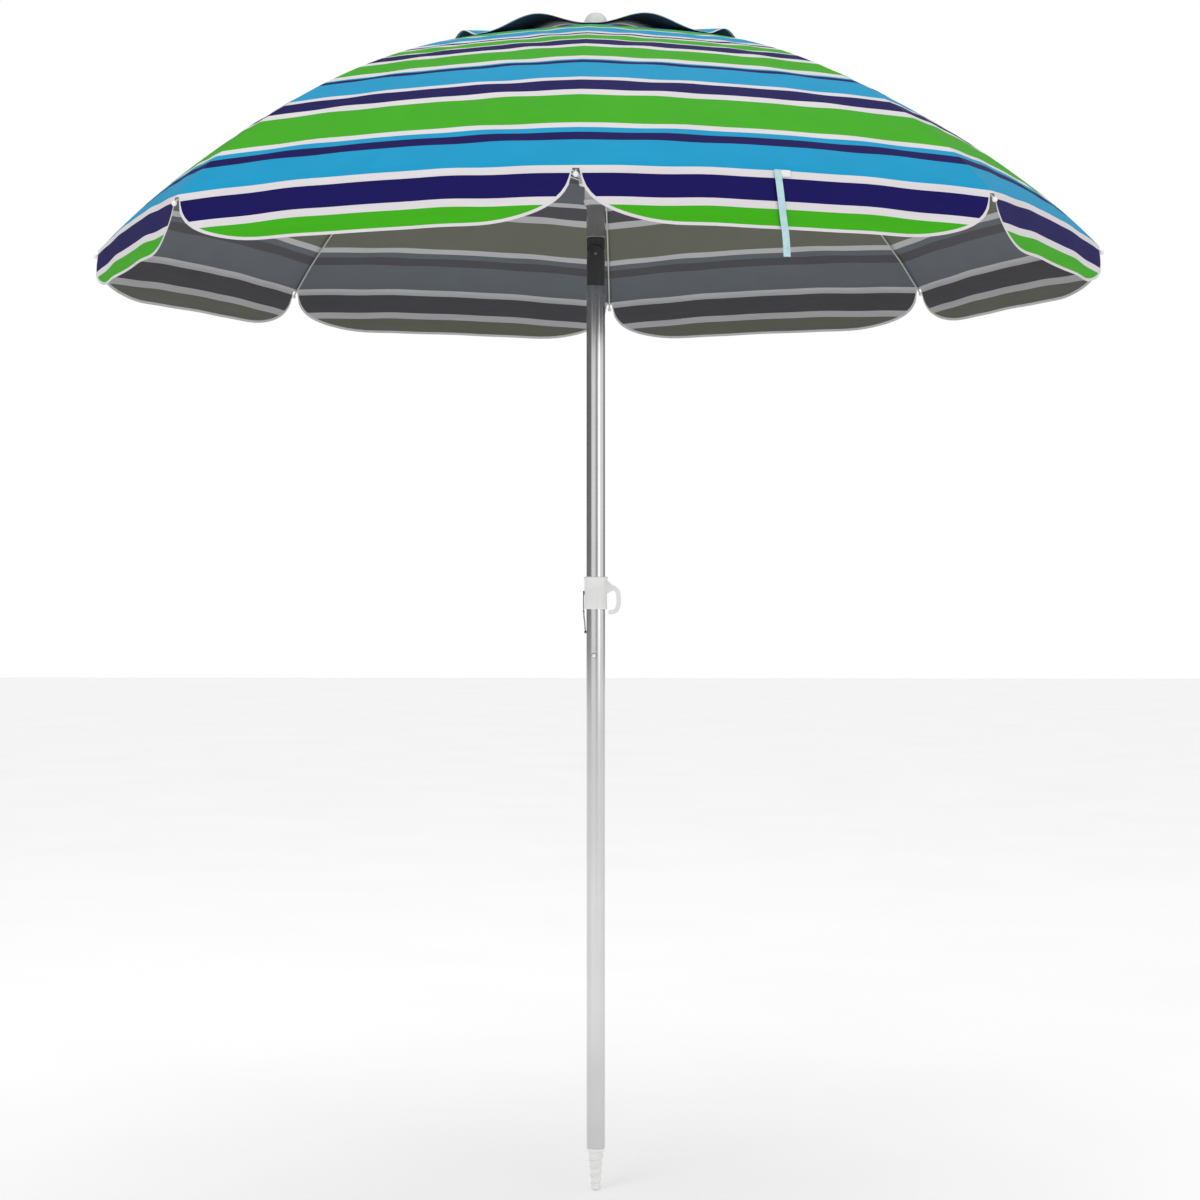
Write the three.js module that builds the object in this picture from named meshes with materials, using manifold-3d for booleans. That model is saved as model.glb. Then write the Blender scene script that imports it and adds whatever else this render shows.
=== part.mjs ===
// Beach umbrella: a two-piece aluminium pole with a screw-in ground tip, a hook collar with a chained
// locking pin, a tilt joint, and an eight-rib folding canopy with a vented top.
// Millimetres, +Z up, origin at the foot of the ground tip, ribs at every 45 degrees from +X.
import * as THREE from "three";
import { mergeVertices } from "three/addons/utils/BufferGeometryUtils.js";
import Module from "manifold-3d";

const wasm = await Module();
wasm.setup();

// Driving dimensions
const RIB_COUNT = 8;
const CANOPY_RADIUS = 865; // pole axis to rib tip
const CANOPY_DROP = 362; // crown to rim along a rib
const VALANCE = 72; // hanging edge below the rim
const VENT_RADIUS = 264.7; // rim of the vent cap at the ribs
const VENT_HOLE = 160; // hole in the main canopy under the cap
const STRETCHER_AT = 400; // stretcher pivot on the rib, from the axis
const POLE_RADIUS = 16;
const POLE_WALL = 1;
const TIP_HEIGHT = 71.5; // ground tip, up to the lower tube
const LOWER_TUBE = 978.5; // up to the seam with the middle tube
const SPIGOT = 165; // the middle tube's drawn-down end, inside the lower tube
const SEAM_TO_TILT = 563; // from the seam up to the tilt rivet
const TILT_TO_CROWN = 372; // from the tilt rivet to where the rib line would meet the axis
const RUNNER_DROP = 245; // open runner's pivots below the crown
const RIB_WIRE = 1.6; // radius of a rib
const CLOTH = 1; // cloth thickness
const GAP = 0.3; // clearance between touching pieces

// Sizes worked out from them
const HALF_GORE = Math.PI / RIB_COUNT;
const POLE_BORE = POLE_RADIUS - POLE_WALL;
const SPIGOT_RADIUS = POLE_BORE - GAP;
const SPIGOT_BORE = SPIGOT_RADIUS - POLE_WALL;
const JOINT_Z = TIP_HEIGHT + LOWER_TUBE; // seam between the lower and the middle tube
const SPIGOT_FOOT = JOINT_Z - SPIGOT;
const TILT_Z = JOINT_Z + SEAM_TO_TILT;
const CROWN_Z = TILT_Z + TILT_TO_CROWN;
const RUNNER_Z = CROWN_Z - RUNNER_DROP;
const CAP_RISE = 21; // vent cap above the rib line at the crown
const CAP_PEAK = 70; // how far from the axis the cap stands up round the finial
const CAP_SEAT = 4; // vent cap above the rib line at its rim
const CAP_BILLOW = 22; // lift of the vent cap's rim between two ribs
const CLOTH_BOW = 12; // sag of the cloth between two ribs at the rim
const FLAP_SQUARENESS = 3.2; // a flap's corner: 2 is an ellipse, more is squarer
const VALANCE_LEAN = 0.15; // outward reach of the valance for each mm that it hangs
const RIB_OFFSET = CLOTH + GAP + RIB_WIRE + 1.8; // rib wire below the cloth's outer face
const PIVOT_RADIUS = POLE_RADIUS + 8; // rib and stretcher pivots, from the axis
const HUB_TOP = CROWN_Z + 5;
const HUB_PIVOT_Z = CROWN_Z - 1;
const HUB_FOOT = HUB_PIVOT_Z - 12;
const TAB_DROP = 6; // stretcher pivot below the rib wire
const EYE = 3.2; // radius of the flat eyes
const EYE_HOLE = 1.3;
const EYE_THICK = 2;
const SLOT_HALF = RIB_WIRE + 0.4; // half the width of the hub's and the runner's slots
const COLLAR_FOOT = JOINT_Z - 49;
const COLLAR_TOP = JOINT_Z + 7;
const COLLAR_RADIUS = POLE_RADIUS + 3.6;
const PIN_Z = JOINT_Z - 21;
const PIN_RADIUS = 2;
const BUTTON_Z = JOINT_Z - 129;
const BUTTON_RADIUS = 3.7;
const BUTTON_AZIMUTH = THREE.MathUtils.degToRad(-100);
const TILT_RADIUS = POLE_RADIUS - 0.4;
const TILT_FOOT = TILT_Z - 54;
const TILT_TOP = TILT_Z + 29;
const CHEEK_INSIDE = 6; // half the width of the slot between the cheeks
const TILT_SWEEP = TILT_RADIUS + 0.7; // radius that the turning half keeps clear
const TONGUE_RADIUS = TILT_RADIUS - 1.6;
const TILT_PLUG = 30; // length of each half's plug inside its tube
const RIVET_RADIUS = 2.5;
const ACROSS = POLE_RADIUS + 4; // half the length of a cut right through the pole
const LEAF_AT = SPIGOT_BORE - 2.1; // middle of the button's leaf spring, from the axis
const LEAF_THICK = 0.8;
const STEM_RADIUS = 5; // finial's stem
const CATCH_GAP = 0.6; // runner catch below the open runner
const RUNNER_SKIRT = 36; // runner below its pivots

// Materials
const paint = (color, roughness, metalness = 0) =>
  new THREE.MeshStandardMaterial({ color, roughness, metalness });
const ALUMINIUM = paint(0xb9babb, 0.32, 1);
const STEEL = paint(0xa9aaac, 0.3, 1);
const WHITE_PLASTIC = paint(0xe4e4e2, 0.45);
const BLACK_PLASTIC = paint(0x2a2a2a, 0.5);
const GREY_PLASTIC = paint(0xc9c9c8, 0.45);
const CANOPY_CLOTH = paint(0x1aa0cd, 0.85);
const STRAP_CLOTH = paint(0xa8d3da, 0.85);
const RIB_COAT = paint(0xd8d8cf, 0.4);

const umbrella = new THREE.Group();

function addMesh(name, geometry, material, turn = 0) {
  const mesh = new THREE.Mesh(outward(geometry), material);
  mesh.name = name;
  mesh.rotation.z = turn;
  umbrella.add(mesh);
}

// Geometry helpers

function bare(geometry) {
  const only = new THREE.BufferGeometry();
  only.setAttribute("position", geometry.getAttribute("position"));
  if (geometry.index) only.setIndex(geometry.index);
  return mergeVertices(only, 1e-4);
}

function volumeOf(geometry) {
  const p = geometry.getAttribute("position");
  const [a, b, c] = [new THREE.Vector3(), new THREE.Vector3(), new THREE.Vector3()];
  let volume = 0;
  for (let i = 0; i < geometry.index.count; i += 3) {
    a.fromBufferAttribute(p, geometry.index.getX(i));
    b.fromBufferAttribute(p, geometry.index.getX(i + 1));
    c.fromBufferAttribute(p, geometry.index.getX(i + 2));
    volume += a.dot(b.cross(c)) / 6;
  }
  return volume;
}

// Merged vertices, no triangle of no area, and faces that point out.
function outward(geometry) {
  const merged = bare(geometry);
  const flip = volumeOf(merged) < 0;
  const index = [];
  for (let i = 0; i < merged.index.count; i += 3) {
    const [a, b, c] = [0, 1, 2].map((k) => merged.index.getX(i + k));
    if (a !== b && b !== c && c !== a) index.push(...(flip ? [a, c, b] : [a, b, c]));
  }
  merged.setIndex(index);
  return merged;
}

function solid(geometry) {
  const closed = outward(geometry);
  const vertProperties = new Float32Array(closed.getAttribute("position").array);
  const triVerts = new Uint32Array(closed.index.array);
  return new wasm.Manifold(new wasm.Mesh({ numProp: 3, vertProperties, triVerts }));
}

function geometryOf(manifold) {
  const { vertProperties, triVerts } = manifold.getMesh();
  const geometry = new THREE.BufferGeometry();
  geometry.setAttribute("position", new THREE.BufferAttribute(vertProperties, 3));
  geometry.setIndex(new THREE.BufferAttribute(triVerts, 1));
  return geometry;
}

const join = (first, ...more) =>
  geometryOf(more.reduce((whole, g) => whole.add(solid(g)), solid(first)));
const cut = (first, ...tools) =>
  geometryOf(tools.reduce((whole, g) => whole.subtract(solid(g)), solid(first)));

// A profile of [radius, height] points turned about the Z axis.
function lathe(profile, segments = 28) {
  const points = profile.map(([r, z]) => new THREE.Vector2(r, z));
  return new THREE.LatheGeometry(points, segments).rotateX(Math.PI / 2);
}

// A solid round post about the Z axis
const post = (radius, foot, top) => lathe([[0, foot], [radius, foot], [radius, top], [0, top]]);

const ring = (inner, outer, foot, top, segments) =>
  lathe([[inner, foot], [outer, foot], [outer, top], [inner, top], [inner, foot]], segments);

const box = (x0, x1, y0, y1, z0, z1) =>
  new THREE.BoxGeometry(x1 - x0, y1 - y0, z1 - z0).translate(
    (x0 + x1) / 2,
    (y0 + y1) / 2,
    (z0 + z1) / 2,
  );

// A cylinder along Y.
const cross = (radius, x, z, halfLength, segments = 8) =>
  new THREE.CylinderGeometry(radius, radius, 2 * halfLength, segments).translate(x, 0, z);

// A cylinder along X from x0 to x1.
const along = (radius, x0, x1, z, segments = 14) =>
  new THREE.CylinderGeometry(radius, radius, x1 - x0, segments)
    .rotateZ(Math.PI / 2)
    .translate((x0 + x1) / 2, 0, z);

function wire(curve, radius, steps, sides = 6) {
  const shape = new THREE.Shape();
  shape.absarc(0, 0, radius, 0, 2 * Math.PI);
  return new THREE.ExtrudeGeometry(shape, {
    steps,
    curveSegments: sides / 2,
    bevelEnabled: false,
    extrudePath: curve,
  });
}

const smooth = (points) =>
  new THREE.CatmullRomCurve3(points.map(([x, y, z]) => new THREE.Vector3(x, y, z)));

// A band of constant width along a spline in the XZ plane, as deep as 2 * halfDepth along Y.
function band(points, width, halfDepth, samples) {
  const line = new THREE.SplineCurve(points.map(([x, z]) => new THREE.Vector2(x, z)));
  const side = (sign) =>
    Array.from({ length: samples + 1 }, (_, i) => {
      const at = line.getPoint(i / samples);
      const t = line.getTangent(i / samples);
      return at.add(new THREE.Vector2(-t.y, t.x).multiplyScalar((sign * width) / 2));
    });
  const shape = new THREE.Shape([...side(1), ...side(-1).reverse()]);
  return new THREE.ExtrudeGeometry(shape, { depth: 2 * halfDepth, bevelEnabled: false })
    .translate(0, 0, -halfDepth)
    .rotateX(Math.PI / 2);
}

// A closed sheet between two grids of points; wrap joins its last column to its first.
function sheet(rows, columns, outer, inner, wrap = false) {
  const position = [];
  for (const face of [outer, inner])
    for (let i = 0; i < rows; i++)
      for (let j = 0; j < columns; j++) position.push(...face(i, j));
  const index = [];
  const quad = (a, b, c, d) => index.push(a, b, c, a, c, d);
  const at = (layer, i, j) => (layer * rows + i) * columns + (j % columns);
  const spans = wrap ? columns : columns - 1;
  for (let i = 0; i < rows - 1; i++)
    for (let j = 0; j < spans; j++) {
      quad(at(0, i, j), at(0, i, j + 1), at(0, i + 1, j + 1), at(0, i + 1, j));
      quad(at(1, i, j), at(1, i + 1, j), at(1, i + 1, j + 1), at(1, i, j + 1));
    }
  for (let j = 0; j < spans; j++) {
    quad(at(0, 0, j), at(1, 0, j), at(1, 0, j + 1), at(0, 0, j + 1));
    const last = rows - 1;
    quad(at(0, last, j), at(0, last, j + 1), at(1, last, j + 1), at(1, last, j));
  }
  for (let i = 0; i < rows - 1 && !wrap; i++) {
    quad(at(0, i, 0), at(0, i + 1, 0), at(1, i + 1, 0), at(1, i, 0));
    const last = columns - 1;
    quad(at(0, i, last), at(1, i, last), at(1, i + 1, last), at(0, i + 1, last));
  }
  const geometry = new THREE.BufferGeometry();
  geometry.setAttribute("position", new THREE.Float32BufferAttribute(position, 3));
  geometry.setIndex(index);
  return geometry;
}

// Height and downward slope of the canopy's outer face along a rib
const ribHeight = (r) => {
  const t = r / CANOPY_RADIUS;
  return CROWN_Z - CANOPY_DROP * (0.92 * t ** 2 + 0.08 * t ** 8);
};
const ribSlope = (r) => {
  const t = r / CANOPY_RADIUS;
  return Math.atan((CANOPY_DROP / CANOPY_RADIUS) * (1.84 * t + 0.64 * t ** 7));
};

// The point of the cloth at a rib station r and a share s of the way to the middle of the gore
function clothPoint(r, s) {
  const reach = r * Math.cos(HALF_GORE);
  const share = Math.abs(s);
  const bow = CLOTH_BOW * (r / CANOPY_RADIUS) ** 2 * share * (2 - share);
  const x = r * (1 - share) + reach * Math.cos(HALF_GORE) * share;
  return [x, s * reach * Math.sin(HALF_GORE), ribHeight(r) - bow];
}

// Ground end and pole

class ScrewLine extends THREE.Curve {
  constructor(turns, foot, top, radiusAt) {
    super();
    Object.assign(this, { turns, foot, top, radiusAt });
  }
  getPoint(t, target = new THREE.Vector3()) {
    const angle = 2 * Math.PI * this.turns * t;
    const z = this.foot + (this.top - this.foot) * t;
    const r = this.radiusAt(z);
    return target.set(r * Math.cos(angle), r * Math.sin(angle), z);
  }
}

function groundScrew() {
  const [tipRadius, topRadius, plug] = [6.6, POLE_RADIUS - 3.8, 40];
  const coreAt = (z) => tipRadius + ((topRadius - tipRadius) * z) / TIP_HEIGHT;
  const core = lathe([
    [0, 9],
    [3.8, 9],
    [3.8, 0],
    [tipRadius, 0],
    [topRadius, TIP_HEIGHT - 6],
    [POLE_RADIUS - 0.8, TIP_HEIGHT - 5],
    [POLE_RADIUS - 0.8, TIP_HEIGHT],
    [SPIGOT_RADIUS, TIP_HEIGHT],
    [SPIGOT_RADIUS, TIP_HEIGHT + plug],
    [0, TIP_HEIGHT + plug],
  ]);
  const thread = wire(new ScrewLine(4.4, 3.4, TIP_HEIGHT - 9, coreAt), 2.4, 48, 4);
  return join(core, thread);
}

function lowerTube() {
  const tube = ring(POLE_BORE, POLE_RADIUS, TIP_HEIGHT + GAP, JOINT_Z);
  return cut(tube, pinHole(), buttonHole());
}

const pinHole = () => along(PIN_RADIUS + GAP, -COLLAR_RADIUS - 5, 0, PIN_Z);

const buttonHole = () =>
  along(BUTTON_RADIUS + GAP, 0, POLE_RADIUS + 5, BUTTON_Z).rotateZ(BUTTON_AZIMUTH);

// The middle tube's lower end is drawn down to a spigot, slotted so that it can leave past the pin.
function middleTube() {
  const tube = lathe([
    [SPIGOT_BORE, SPIGOT_FOOT],
    [SPIGOT_RADIUS, SPIGOT_FOOT],
    [SPIGOT_RADIUS, JOINT_Z + GAP],
    [POLE_RADIUS, JOINT_Z + GAP],
    [POLE_RADIUS, TILT_FOOT - GAP],
    [POLE_BORE, TILT_FOOT - GAP],
    [POLE_BORE, JOINT_Z + 6],
    [SPIGOT_BORE, JOINT_Z],
    [SPIGOT_BORE, SPIGOT_FOOT],
  ]);
  const half = PIN_RADIUS + 0.5;
  const slot = box(-POLE_RADIUS, -5, -half, half, SPIGOT_FOOT - 1, PIN_Z + half);
  return cut(tube, slot, buttonHole());
}

function poleCollar() {
  const bore = POLE_RADIUS + GAP;
  const body = lathe([
    [bore, COLLAR_FOOT],
    [COLLAR_RADIUS - 0.6, COLLAR_FOOT],
    [COLLAR_RADIUS, COLLAR_FOOT + 0.6],
    [COLLAR_RADIUS, COLLAR_TOP - 6],
    [COLLAR_RADIUS + 1, COLLAR_TOP - 3],
    [COLLAR_RADIUS + 1, COLLAR_TOP - 1],
    [COLLAR_RADIUS, COLLAR_TOP],
    [bore, COLLAR_TOP],
    [bore, COLLAR_FOOT],
  ], 28);
  const reach = POLE_RADIUS + 23.3; // middle of the hook's upright, from the axis
  const hook = band(
    [
      [COLLAR_RADIUS - 2, COLLAR_TOP - 16],
      [reach - 11, COLLAR_TOP - 18],
      [reach - 2, COLLAR_TOP - 25],
      [reach, COLLAR_TOP - 36],
      [reach, COLLAR_FOOT + 9],
      [reach - 4, COLLAR_FOOT - 2],
      [reach - 11, COLLAR_FOOT - 5],
      [reach - 17, COLLAR_FOOT - 5],
    ],
    7.6,
    5,
    18,
  );
  const web = new THREE.Shape(
    [
      [COLLAR_RADIUS - 2, COLLAR_TOP - 4],
      [reach - 13, COLLAR_TOP - 12],
      [reach - 5, COLLAR_TOP - 21],
      [reach - 10, COLLAR_TOP - 24],
      [COLLAR_RADIUS - 2, COLLAR_TOP - 30],
    ].map(([x, z]) => new THREE.Vector2(x, z)),
  );
  const gusset = new THREE.ExtrudeGeometry(web, { depth: 9, bevelEnabled: false })
    .translate(0, 0, -4.5)
    .rotateX(Math.PI / 2);
  return cut(join(body, hook, gusset), pinHole());
}

function lockPin() {
  const face = -COLLAR_RADIUS - GAP;
  const shank = along(PIN_RADIUS, -COLLAR_RADIUS - 2, -SPIGOT_BORE + 1, PIN_Z);
  const head = along(3.6, face - 2, face, PIN_Z);
  const handle = wire(
    smooth([
      [face - 1.2, 0, PIN_Z],
      [face - 1.6, 0, PIN_Z - 14],
      [face - 1, 0, PIN_Z - 30],
    ]),
    0.9,
    8,
    6,
  );
  const eye = cross(1.7, face - 1, PIN_Z - 31.4, 0.9, 12);
  return join(shank, head, handle, eye);
}

// The chain's middle line, from the pin's lower eye to the rivet on the pole
function pinChain() {
  const face = -COLLAR_RADIUS - GAP;
  const route = smooth([
    [face - 1, 0, PIN_Z - 33.5],
    [face - 0.2, 0, PIN_Z - 43],
    [-POLE_RADIUS - 2.9, 0, PIN_Z - 54],
    [-POLE_RADIUS - 2.3, 0, PIN_Z - 64.6],
  ]);
  return wire(route, 1.1, 12, 8);
}

const chainRivet = () =>
  along(2.4, -POLE_RADIUS - 3.8, -POLE_RADIUS - GAP, PIN_Z - 67.4, 16);

function snapButton() {
  const foot = LEAF_AT + LEAF_THICK / 2 + GAP;
  const dome = lathe([
    [0, foot],
    [BUTTON_RADIUS, foot],
    [BUTTON_RADIUS, POLE_RADIUS + 1],
    [BUTTON_RADIUS - 1, POLE_RADIUS + 2.2],
    [0, POLE_RADIUS + 2.5],
  ], 20);
  return dome.rotateY(Math.PI / 2).rotateZ(BUTTON_AZIMUTH).translate(0, 0, BUTTON_Z);
}

// A bent leaf inside the spigot that pushes the button out
function snapSpring() {
  const shoulder = LEAF_AT - 2.6;
  const line = [
    [LEAF_AT, -7],
    [LEAF_AT, 12],
    [shoulder, 34],
    [0, 43],
    [-shoulder, 34],
    [-SPIGOT_BORE + LEAF_THICK, 8],
  ];
  const leaf = band(line, LEAF_THICK, 3, 18);
  return leaf.rotateZ(BUTTON_AZIMUTH).translate(0, 0, BUTTON_Z);
}

// Tilt joint: two round cheeks below, a tongue and a hollowed shoulder above, one rivet across

function tiltBase() {
  const body = join(
    post(TILT_RADIUS, TILT_FOOT, TILT_Z),
    post(SPIGOT_RADIUS, TILT_FOOT - TILT_PLUG, TILT_FOOT),
    cheekBlock(),
  );
  const slot = cross(TILT_SWEEP, 0, TILT_Z, CHEEK_INSIDE, 32);
  const open = box(-ACROSS, ACROSS, -CHEEK_INSIDE, CHEEK_INSIDE, TILT_Z - 4, TILT_TOP);
  return cut(body, slot, open, rivetHole());
}

// The part of the round post above the rivet that lies within the cheeks' radius
function cheekBlock() {
  const upper = solid(post(TILT_RADIUS, TILT_Z - 1, TILT_TOP));
  return geometryOf(upper.intersect(solid(cross(TILT_RADIUS - 0.2, 0, TILT_Z, ACROSS, 32))));
}

const rivetHole = () => cross(RIVET_RADIUS + GAP, 0, TILT_Z, ACROSS);

function tiltHead() {
  const shoulder = cut(
    post(TILT_RADIUS, TILT_Z, TILT_TOP),
    cross(TILT_SWEEP, 0, TILT_Z, ACROSS, 32),
  );
  const half = CHEEK_INSIDE - GAP;
  const tongue = join(
    cross(TONGUE_RADIUS, 0, TILT_Z, half, 28),
    box(-TONGUE_RADIUS, TONGUE_RADIUS, -half, half, TILT_Z, TILT_TOP - 9),
  );
  const round = solid(post(TILT_RADIUS, TILT_Z - TILT_RADIUS, TILT_TOP));
  const trimmed = geometryOf(solid(tongue).intersect(round));
  const plug = post(SPIGOT_RADIUS, TILT_TOP, TILT_TOP + TILT_PLUG);
  return cut(join(shoulder, trimmed, plug), rivetHole());
}

function tiltPivot() {
  const reach = Math.sqrt(TILT_RADIUS ** 2 - (RIVET_RADIUS + 0.5) ** 2) - 0.2;
  return cross(RIVET_RADIUS, 0, TILT_Z, reach);
}

// Canopy frame

const canopyTube = () => ring(POLE_BORE, POLE_RADIUS, TILT_TOP + GAP, HUB_FOOT - GAP);

function slots(inside, halfWidth, foot, top) {
  return Array.from({ length: RIB_COUNT }, (_, k) =>
    box(inside, PIVOT_RADIUS + 12, -halfWidth, halfWidth, foot, top).rotateZ(2 * k * HALF_GORE),
  );
}

function crownHub() {
  const stem = STEM_RADIUS + GAP;
  const body = lathe([
    [0, HUB_FOOT - 28],
    [SPIGOT_RADIUS, HUB_FOOT - 28],
    [SPIGOT_RADIUS, HUB_FOOT],
    [PIVOT_RADIUS + 6, HUB_FOOT],
    [PIVOT_RADIUS + 6, HUB_TOP - 1],
    [PIVOT_RADIUS + 5, HUB_TOP],
    [stem, HUB_TOP],
    [stem, HUB_TOP - 14],
    [0, HUB_TOP - 14],
  ], 28);
  const groove = pivotRing(EYE_HOLE);
  const inside = PIVOT_RADIUS - EYE - 0.6;
  return cut(body, groove, ...slots(inside, SLOT_HALF, HUB_FOOT - 1, HUB_PIVOT_Z + EYE + 0.6));
}

const pivotRing = (radius) =>
  new THREE.TorusGeometry(PIVOT_RADIUS, radius, 4, 32).translate(0, 0, HUB_PIVOT_Z);

const crownRing = () => pivotRing(EYE_HOLE - GAP - 0.1);

// The cap stands up round the finial and lies low along the ribs.
const capHeight = (r) => ribHeight(r) + CAP_SEAT + (CAP_RISE - CAP_SEAT) * Math.exp(-((r / CAP_PEAK) ** 2));

function capSpacer() {
  const outside = STEM_RADIUS + 4;
  const top = capHeight(outside) - CLOTH - 2 * GAP;
  return ring(STEM_RADIUS + GAP, outside, HUB_TOP + GAP, top, 24);
}

function finial() {
  const foot = capHeight(0) + GAP;
  return lathe([
    [0, HUB_TOP - 13],
    [STEM_RADIUS, HUB_TOP - 13],
    [STEM_RADIUS, foot],
    [19.5, foot],
    [20.5, foot + 1.5],
    [20, foot + 6],
    [16.5, foot + 14],
    [11, foot + 20],
    [5, foot + 23.4],
    [0, foot + 24],
  ]);
}

// Vent cap: tied down at each rib, and billowing between them
function ventCap() {
  const inner = STEM_RADIUS + 2 * GAP;
  const stations = [inner, ...[0.113, 0.23, 0.36, 0.51, 0.68, 0.85, 1].map((t) => t * VENT_RADIUS)];
  const perGore = 4;
  const point = (i, j, depth) => {
    const r = stations[i];
    const share = 1 - Math.abs(((j % perGore) / perGore) * 2 - 1);
    const turn = (2 * HALF_GORE * j) / perGore;
    const offset = turn - 2 * HALF_GORE * Math.round(turn / (2 * HALF_GORE));
    const reach = (r * Math.cos(HALF_GORE)) / Math.cos(HALF_GORE - Math.abs(offset));
    const lift = CAP_BILLOW * (r / VENT_RADIUS) ** 2 * Math.sin((Math.PI / 2) * share) ** 2;
    return [reach * Math.cos(turn), reach * Math.sin(turn), capHeight(r) + lift - depth];
  };
  return sheet(
    stations.length,
    perGore * RIB_COUNT,
    (i, j) => point(i, j, 0),
    (i, j) => point(i, j, CLOTH),
    true,
  );
}

const ribEnd = CANOPY_RADIUS + 6;

// A point of the rib wire's middle line, in the plane of the rib
function ribPoint(r) {
  const slope = ribSlope(r);
  return [r - RIB_OFFSET * Math.sin(slope), 0, ribHeight(r) - RIB_OFFSET * Math.cos(slope)];
}

// Where the stretcher turns on the rib
const stretcherPivot = () => [STRETCHER_AT, ribHeight(STRETCHER_AT) - RIB_OFFSET - TAB_DROP];

function rib() {
  const stations = Array.from({ length: 11 }, (_, i) =>
    THREE.MathUtils.lerp(PIVOT_RADIUS + 36, CANOPY_RADIUS - 65, i / 10),
  );
  const line = smooth([
    [PIVOT_RADIUS + EYE_HOLE + 0.6, 0, HUB_PIVOT_Z - 0.2],
    ...stations.map(ribPoint),
    ribPoint(CANOPY_RADIUS - 20),
    ribPoint(ribEnd),
  ]);
  const [x, z] = stretcherPivot();
  const half = EYE_THICK / 2;
  return cut(
    join(
      wire(line, RIB_WIRE, 12),
      cross(EYE, PIVOT_RADIUS, HUB_PIVOT_Z, half),
      cross(EYE, x, z, half),
      box(x - 2.4, x + 2.4, -half, half, z, z + TAB_DROP),
    ),
    cross(EYE_HOLE, PIVOT_RADIUS, HUB_PIVOT_Z, 5),
    cross(EYE_HOLE, x, z, 5),
  );
}

function ribTip() {
  const radius = 3.9;
  const bore = RIB_WIRE + GAP;
  const arc = Array.from({ length: 5 }, (_, i) => {
    const angle = THREE.MathUtils.lerp(-Math.acos(bore / radius), Math.PI / 2, i / 4);
    return [i === 4 ? 0 : radius * Math.cos(angle), radius * Math.sin(angle)];
  });
  const ball = lathe([[0, -0.6], [bore, -0.6], ...arc], 8);
  const [x, , z] = ribPoint(ribEnd);
  const slope = ribSlope(ribEnd);
  return ball
    .rotateY(Math.PI / 2 + slope)
    .translate(x + Math.cos(slope), 0, z - Math.sin(slope));
}

// One rib's share of the canopy, from mid-gore to mid-gore, with its half of each valance flap
function canopyPanel() {
  const edge = CANOPY_RADIUS * Math.sin(HALF_GORE); // rib to mid-gore along the rim
  const corner = 185; // reach of a flap's rounded corner
  const notch = 5.5; // half the width of the gap that the rib tip stands in
  const half = [notch, notch + 2, 20, 60, 150].map((d) => d / edge).concat(1);
  const shares = [...half.slice().reverse().map((s) => -s), 0, ...half];
  const rows = 7;
  const main = Array.from({ length: rows + 1 }, (_, i) =>
    THREE.MathUtils.lerp(CANOPY_RADIUS, VENT_HOLE, (1 - i / rows) ** 1.4),
  );
  const flaps = [0.5, 1];
  const flapDrop = (s) => {
    const d = Math.abs(s) * edge;
    if (d < notch + 1) return 0.8;
    const c = Math.max(0, 1 - (d - notch) / corner);
    return VALANCE * (1 - c ** FLAP_SQUARENESS) ** (1 / FLAP_SQUARENESS);
  };
  const point = (i, j, depth) => {
    const s = shares[j];
    const r = main[Math.min(i, main.length - 1)];
    const trimmed = s * (Math.abs(s) === 1 ? 1 - GAP / (r * Math.sin(HALF_GORE)) : 1);
    const [x, y, z] = clothPoint(r, trimmed);
    const down = i < main.length ? 0 : flaps[i - main.length] * flapDrop(s);
    const slope = down ? 1.45 : ribSlope(r);
    const out = VALANCE_LEAN * down - depth * Math.sin(slope);
    return [x + out, y, z - down - depth * Math.cos(slope)];
  };
  return sheet(
    main.length + flaps.length,
    shares.length,
    (i, j) => point(i, j, 0),
    (i, j) => point(i, j, CLOTH),
  );
}

// A bar with a forked end on the rib and a flat eye at the runner
function stretcher() {
  const [x, z] = stretcherPivot();
  const foot = new THREE.Vector2(PIVOT_RADIUS, RUNNER_Z);
  const away = foot.clone().sub(new THREE.Vector2(x, z));
  const at = (d) => new THREE.Vector2(x, z).add(away.clone().setLength(d));
  const length = away.length();
  const bar = (from, to, radius) => {
    const [a, b] = [at(from), at(to)];
    const line = new THREE.LineCurve3(
      new THREE.Vector3(a.x, 0, a.y),
      new THREE.Vector3(b.x, 0, b.y),
    );
    return wire(line, radius, 1);
  };
  const cheekHalf = EYE_THICK / 2 + GAP;
  const outside = cheekHalf + 1.2;
  const turn = Math.atan2(-away.y, away.x);
  const arm = (y0, y1, from, to) =>
    box(from, to, y0, y1, -2.2, 2.2).rotateY(turn).translate(x, 0, z);
  const fork = cut(
    join(arm(-outside, outside, 0, 9), cross(EYE, x, z, outside)),
    arm(-cheekHalf, cheekHalf, -6, 5.2),
    cross(EYE + 1.4, x, z, cheekHalf),
  );
  return cut(
    join(
      fork,
      cross(EYE_HOLE - 0.1, x, z, outside - 0.2),
      bar(8, length - 2, 1.6),
      cross(2.6, foot.x, foot.y, EYE_THICK / 2),
    ),
    cross(1.1, foot.x, foot.y, 4, 10),
  );
}

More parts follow.
